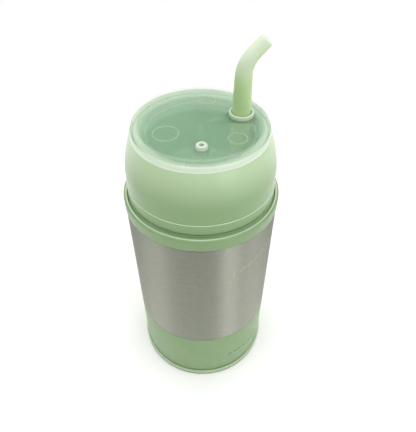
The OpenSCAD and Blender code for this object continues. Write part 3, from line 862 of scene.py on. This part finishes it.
# ---------------------------------------------------------------- straw
class Hose:
    """An open ring of edges that is drawn on, step by step, into a round tube."""

    def __init__(self, builder, size, height):
        self.builder = builder
        self.size = size
        circle = bmesh.ops.create_circle(builder, cap_ends=False, radius=size, segments=HOSE_SIDES)["verts"]
        bmesh.ops.translate(builder, verts=circle, vec=(0, 0, height))
        self.ring = list(builder.edges)

    def grow(self, size, shift=(0, 0, 0), turn=0.0, about=None):
        """Extrudes the ring, moves it, turns it about a bend's centre and brings it to another radius."""
        made = bmesh.ops.extrude_edge_only(self.builder, edges=self.ring)["geom"]
        verts = [g for g in made if isinstance(g, bmesh.types.BMVert)]
        self.ring = [g for g in made if isinstance(g, bmesh.types.BMEdge)]
        bmesh.ops.translate(self.builder, verts=verts, vec=shift)
        if turn:
            matrix = Matrix.Rotation(turn, 3, "Y")
            bmesh.ops.rotate(self.builder, verts=verts, cent=about, matrix=matrix)
        centre = sum((v.co for v in verts), Vector()) / len(verts)
        scale = size / self.size
        bmesh.ops.scale(
            self.builder, verts=verts, vec=(scale, scale, scale), space=Matrix.Translation(-centre))
        self.size = size


def store_facing(piece):
    """Stores the upward share of each point's normal as the piece's attribute FACES_UP, which places painted
    shade on the lower sides.
    """
    attribute = piece.data.attributes.new(FACES_UP, "FLOAT", "POINT")
    for vertex, entry in zip(piece.data.vertices, attribute.data):
        entry.value = vertex.normal.z


def build_spout():
    look = sizes()
    wall = 1.15 * MM
    base_r, bend_r, tip_r = 4.1 * MM, 3.8 * MM, 3.15 * MM
    bottom = low("straw_spout").z
    taper = high("straw_sleeve").z + 3 * MM
    bend_start = LID_TOP + 17.5 * MM
    tip_len = 6.8 * MM
    bends = 16
    turn = look.spout_bend / bends
    about = Vector((look.spout_bend_radius, 0, bend_start))
    heading = Vector((math.sin(look.spout_bend), 0, math.cos(look.spout_bend)))
    outside = (
        (taper, base_r), (taper + 4 * MM, base_r - 0.10 * MM), (bend_start - 4 * MM, bend_r + 0.12 * MM),
        (bend_start, bend_r),
    )
    # steps round the lip: the way along the heading, and how much narrower than the tip
    lip = ((0.42, 0.12), (0.25, 0.36), (0.08, 0.62), (-0.14, 0.86), (-0.40, 0.98))
    lip_rise, lip_return = 0.75 * MM, 0.54 * MM

    # outside, from the base up to the tip
    builder = bmesh.new()
    hose = Hose(builder, base_r, bottom)
    here = bottom
    for height, size in outside:
        hose.grow(size, (0, 0, height - here))
        here = height
    for i in range(1, bends + 1):
        hose.grow(bend_r + (tip_r - bend_r) * i / (bends + 2), turn=turn, about=about)
    hose.grow(tip_r, heading * (tip_len - lip_rise))
    for forward, narrower in lip:
        hose.grow(tip_r - narrower * MM, heading * forward * MM)

    # back down the bore
    bore_tip = hose.size
    hose.grow(bore_tip, -heading * (tip_len - lip_return))
    for i in range(1, bends + 1):
        hose.grow(bore_tip + (bend_r - wall - bore_tip) * i / bends, turn=-turn, about=about)
    here = bend_start
    for height in (taper, bottom):
        hose.grow(base_r - wall, (0, 0, height - here))
        here = height
    bmesh.ops.bridge_loops(builder, edges=[e for e in builder.edges if e.is_boundary])

    place = Matrix.Translation(STRAW_AXIS) @ Matrix.Rotation(look.spout_direction, 4, "Z")
    bmesh.ops.transform(builder, matrix=place, verts=builder.verts)
    bmesh.ops.recalc_face_normals(builder, faces=builder.faces)
    store_facing(
        finished("spout_soft", builder, spout_silicone(), "spout", ("straw_spout",)))


def build_straw():
    build_spout()
    smoothed_copy("straw_connector", "straw_connector_moulded", straw_plastic(), "straw")
    smoothed_copy("lower_straw", "lower_straw_tube", straw_plastic(), "straw")


# ---------------------------------------------------------------- stage
def build_floor():
    finish = Finish("floor_paint", (0.92, 0.92, 0.91), 0.9)
    finish.vary_colour(finish.ramp(finish.noise(3, detail=2), 0, 1), (0.91, 0.91, 0.90), (0.93, 0.93, 0.92))
    builder = bmesh.new()
    bmesh.ops.create_circle(builder, cap_ends=True, segments=96, radius=0.65)
    bmesh.ops.translate(builder, verts=builder.verts, vec=(0, 0, -0.2 * MM))
    mesh = bpy.data.meshes.new("floor")
    builder.to_mesh(mesh)
    builder.free()
    mesh.materials.append(finish.material)
    floor = bpy.data.objects.new("floor", mesh)
    bpy.context.scene.collection.objects.link(floor)


def build_camera():
    look = studio()
    data = bpy.data.cameras.new("camera")
    data.lens = look.lens
    data.sensor_width = 36
    data.sensor_fit = "AUTO"
    data.clip_start, data.clip_end = 0.01, 20
    camera = bpy.data.objects.new("camera", data)
    bpy.context.scene.collection.objects.link(camera)
    camera.location = look.camera_place
    turn = (
        Matrix.Rotation(-look.camera_yaw, 3, "Z")
        @ Matrix.Rotation(math.pi / 2 - look.camera_pitch, 3, "X")
        @ Matrix.Rotation(look.camera_roll, 3, "Z")
    )
    camera.rotation_euler = turn.to_euler()
    bpy.context.scene.camera = camera


def soft_box(name, place, target, width, height, brightness):
    """A rectangular light of an even brightness, which the camera doesn't see."""
    data = bpy.data.lights.new(name, "AREA")
    data.shape = "RECTANGLE"
    data.size, data.size_y = width, height
    data.energy = brightness * math.pi * width * height
    lamp = bpy.data.objects.new(name, data)
    bpy.context.scene.collection.objects.link(lamp)
    lamp.location = place
    lamp.rotation_euler = (Vector(target) - Vector(place)).to_track_quat("-Z", "Y").to_euler()
    lamp.visible_camera = False


def standing_box(name, azimuth, distance, width, height, brightness, raised=0.01):
    """A soft box that stands upright, its lower edge raised above the floor, and faces the cup's axis."""
    angle = math.radians(azimuth)
    centre = height / 2 + raised
    place = (distance * math.cos(angle), distance * math.sin(angle), centre)
    soft_box(name, place, (0, 0, centre), width, height, brightness)


def build_lights():
    look = studio()
    world = bpy.data.worlds.new("studio")
    bpy.context.scene.world = world
    world.use_nodes = True
    tree = world.node_tree
    background = tree.nodes["Background"]
    background.inputs["Color"].default_value = (1, 1, 1, 1)
    ray = tree.nodes.new("ShaderNodeLightPath")
    strength = tree.nodes.new("ShaderNodeMapRange")
    strength.inputs["To Min"].default_value = look.world_strength
    strength.inputs["To Max"].default_value = 1
    tree.links.new(ray.outputs["Is Camera Ray"], strength.inputs["Value"])
    tree.links.new(strength.outputs["Result"], background.inputs["Strength"])
    soft_box("ceiling", (0, 0.2, 1.5), (0, 0.2, 0), 2.6, 2.6, look.ceiling)
    standing_box("strip_right", -54, 0.75, 0.30, 0.7, look.strip)
    standing_box("side_left", -160, 0.8, 0.6, 0.8, look.sides, 0.25)
    standing_box("side_right", -12, 0.8, 0.6, 0.8, look.sides, 0.25)
    standing_box("back_left", 122, 1.0, 0.7, 0.7, look.back)
    standing_box("back_right", 58, 1.0, 0.7, 0.7, look.back)
    bpy.context.scene.cycles.transparent_max_bounces = LAYERS_SEEN
    bpy.context.scene.view_settings.view_transform = "Standard"
    bpy.context.scene.view_settings.look = "None"


# ---------------------------------------------------------------- operators
class STRAWCUP_OT_steel_body(Operator):
    """Make the brushed steel shell, the liner and the steel bottom"""
    bl_idname = "straw_cup.steel_body"
    bl_label = "Steel body"

    def execute(self, context):
        build_steel_body()
        return {"FINISHED"}


class STRAWCUP_OT_base(Operator):
    """Make the foot ring and the base sleeve"""
    bl_idname = "straw_cup.base"
    bl_label = "Base"

    def execute(self, context):
        build_base()
        return {"FINISHED"}


class STRAWCUP_OT_marks(Operator):
    """Make the plain prints on the steel and on the base sleeve"""
    bl_idname = "straw_cup.marks"
    bl_label = "Prints"

    def execute(self, context):
        build_marks()
        return {"FINISHED"}


class STRAWCUP_OT_collar(Operator):
    """Make the threaded collar and its gasket"""
    bl_idname = "straw_cup.collar"
    bl_label = "Collar"

    def execute(self, context):
        build_collar()
        return {"FINISHED"}


class STRAWCUP_OT_lid_base(Operator):
    """Make the threaded lid base and the dome's seal"""
    bl_idname = "straw_cup.lid_base"
    bl_label = "Lid base"

    def execute(self, context):
        build_lid_base()
        return {"FINISHED"}


class STRAWCUP_OT_dome(Operator):
    """Make the dome"""
    bl_idname = "straw_cup.dome"
    bl_label = "Dome"

    def execute(self, context):
        build_dome()
        return {"FINISHED"}


class STRAWCUP_OT_snack_pot(Operator):
    """Make the snack pot inside the dome"""
    bl_idname = "straw_cup.snack_pot"
    bl_label = "Snack pot"

    def execute(self, context):
        build_snack_pot()
        return {"FINISHED"}


class STRAWCUP_OT_sleeve_and_vent(Operator):
    """Make the straw's sleeve, the vent tube, and the seal and valve below them"""
    bl_idname = "straw_cup.sleeve_and_vent"
    bl_label = "Sleeve and vent"

    def execute(self, context):
        build_sleeve_and_vent()
        return {"FINISHED"}


class STRAWCUP_OT_top_lid(Operator):
    """Make the milky top lid with its moulded rings and seal"""
    bl_idname = "straw_cup.top_lid"
    bl_label = "Top lid"

    def execute(self, context):
        build_top_lid()
        return {"FINISHED"}


class STRAWCUP_OT_straw(Operator):
    """Make the soft spout, the connector and the lower straw"""
    bl_idname = "straw_cup.straw"
    bl_label = "Straw"

    def execute(self, context):
        build_straw()
        return {"FINISHED"}


class STRAWCUP_OT_stage(Operator):
    """Make the floor, the lights and the camera"""
    bl_idname = "straw_cup.stage"
    bl_label = "Stage"

    def execute(self, context):
        build_floor()
        build_lights()
        build_camera()
        return {"FINISHED"}


PIECES = (
    STRAWCUP_OT_steel_body, STRAWCUP_OT_base, STRAWCUP_OT_marks, STRAWCUP_OT_collar,
    STRAWCUP_OT_lid_base, STRAWCUP_OT_dome, STRAWCUP_OT_snack_pot, STRAWCUP_OT_sleeve_and_vent,
    STRAWCUP_OT_top_lid, STRAWCUP_OT_straw, STRAWCUP_OT_stage,
)


class STRAWCUP_PT_panel(Panel):
    """Lists the cup's pieces and settings"""
    bl_idname = "STRAWCUP_PT_panel"
    bl_label = "Straw cup"
    bl_space_type = "VIEW_3D"
    bl_region_type = "UI"
    bl_category = "Straw cup"

    def draw(self, context):
        scene = context.scene
        for group in (scene.straw_cup_sizes, scene.straw_cup_colours, scene.straw_cup_studio):
            box = self.layout.box()
            for name in group.__annotations__:
                box.prop(group, name)
        for operator in PIECES:
            self.layout.operator(operator.bl_idname)


GROUPS = {
    "straw_cup_sizes": StrawCupSizes,
    "straw_cup_colours": StrawCupColours,
    "straw_cup_studio": StrawCupStudio,
}


def register():
    for cls in (*GROUPS.values(), *PIECES, STRAWCUP_PT_panel):
        bpy.utils.register_class(cls)
    for name, group in GROUPS.items():
        setattr(bpy.types.Scene, name, PointerProperty(type=group))


def unregister():
    for name in GROUPS:
        delattr(bpy.types.Scene, name)
    for cls in reversed((*GROUPS.values(), *PIECES, STRAWCUP_PT_panel)):
        bpy.utils.unregister_class(cls)


def main():
    register()
    bpy.ops.straw_cup.steel_body()
    bpy.ops.straw_cup.base()
    bpy.ops.straw_cup.marks()
    bpy.ops.straw_cup.collar()
    bpy.ops.straw_cup.lid_base()
    bpy.ops.straw_cup.dome()
    bpy.ops.straw_cup.snack_pot()
    bpy.ops.straw_cup.sleeve_and_vent()
    bpy.ops.straw_cup.top_lid()
    bpy.ops.straw_cup.straw()
    bpy.ops.straw_cup.stage()


if __name__ == "__main__":
    main()
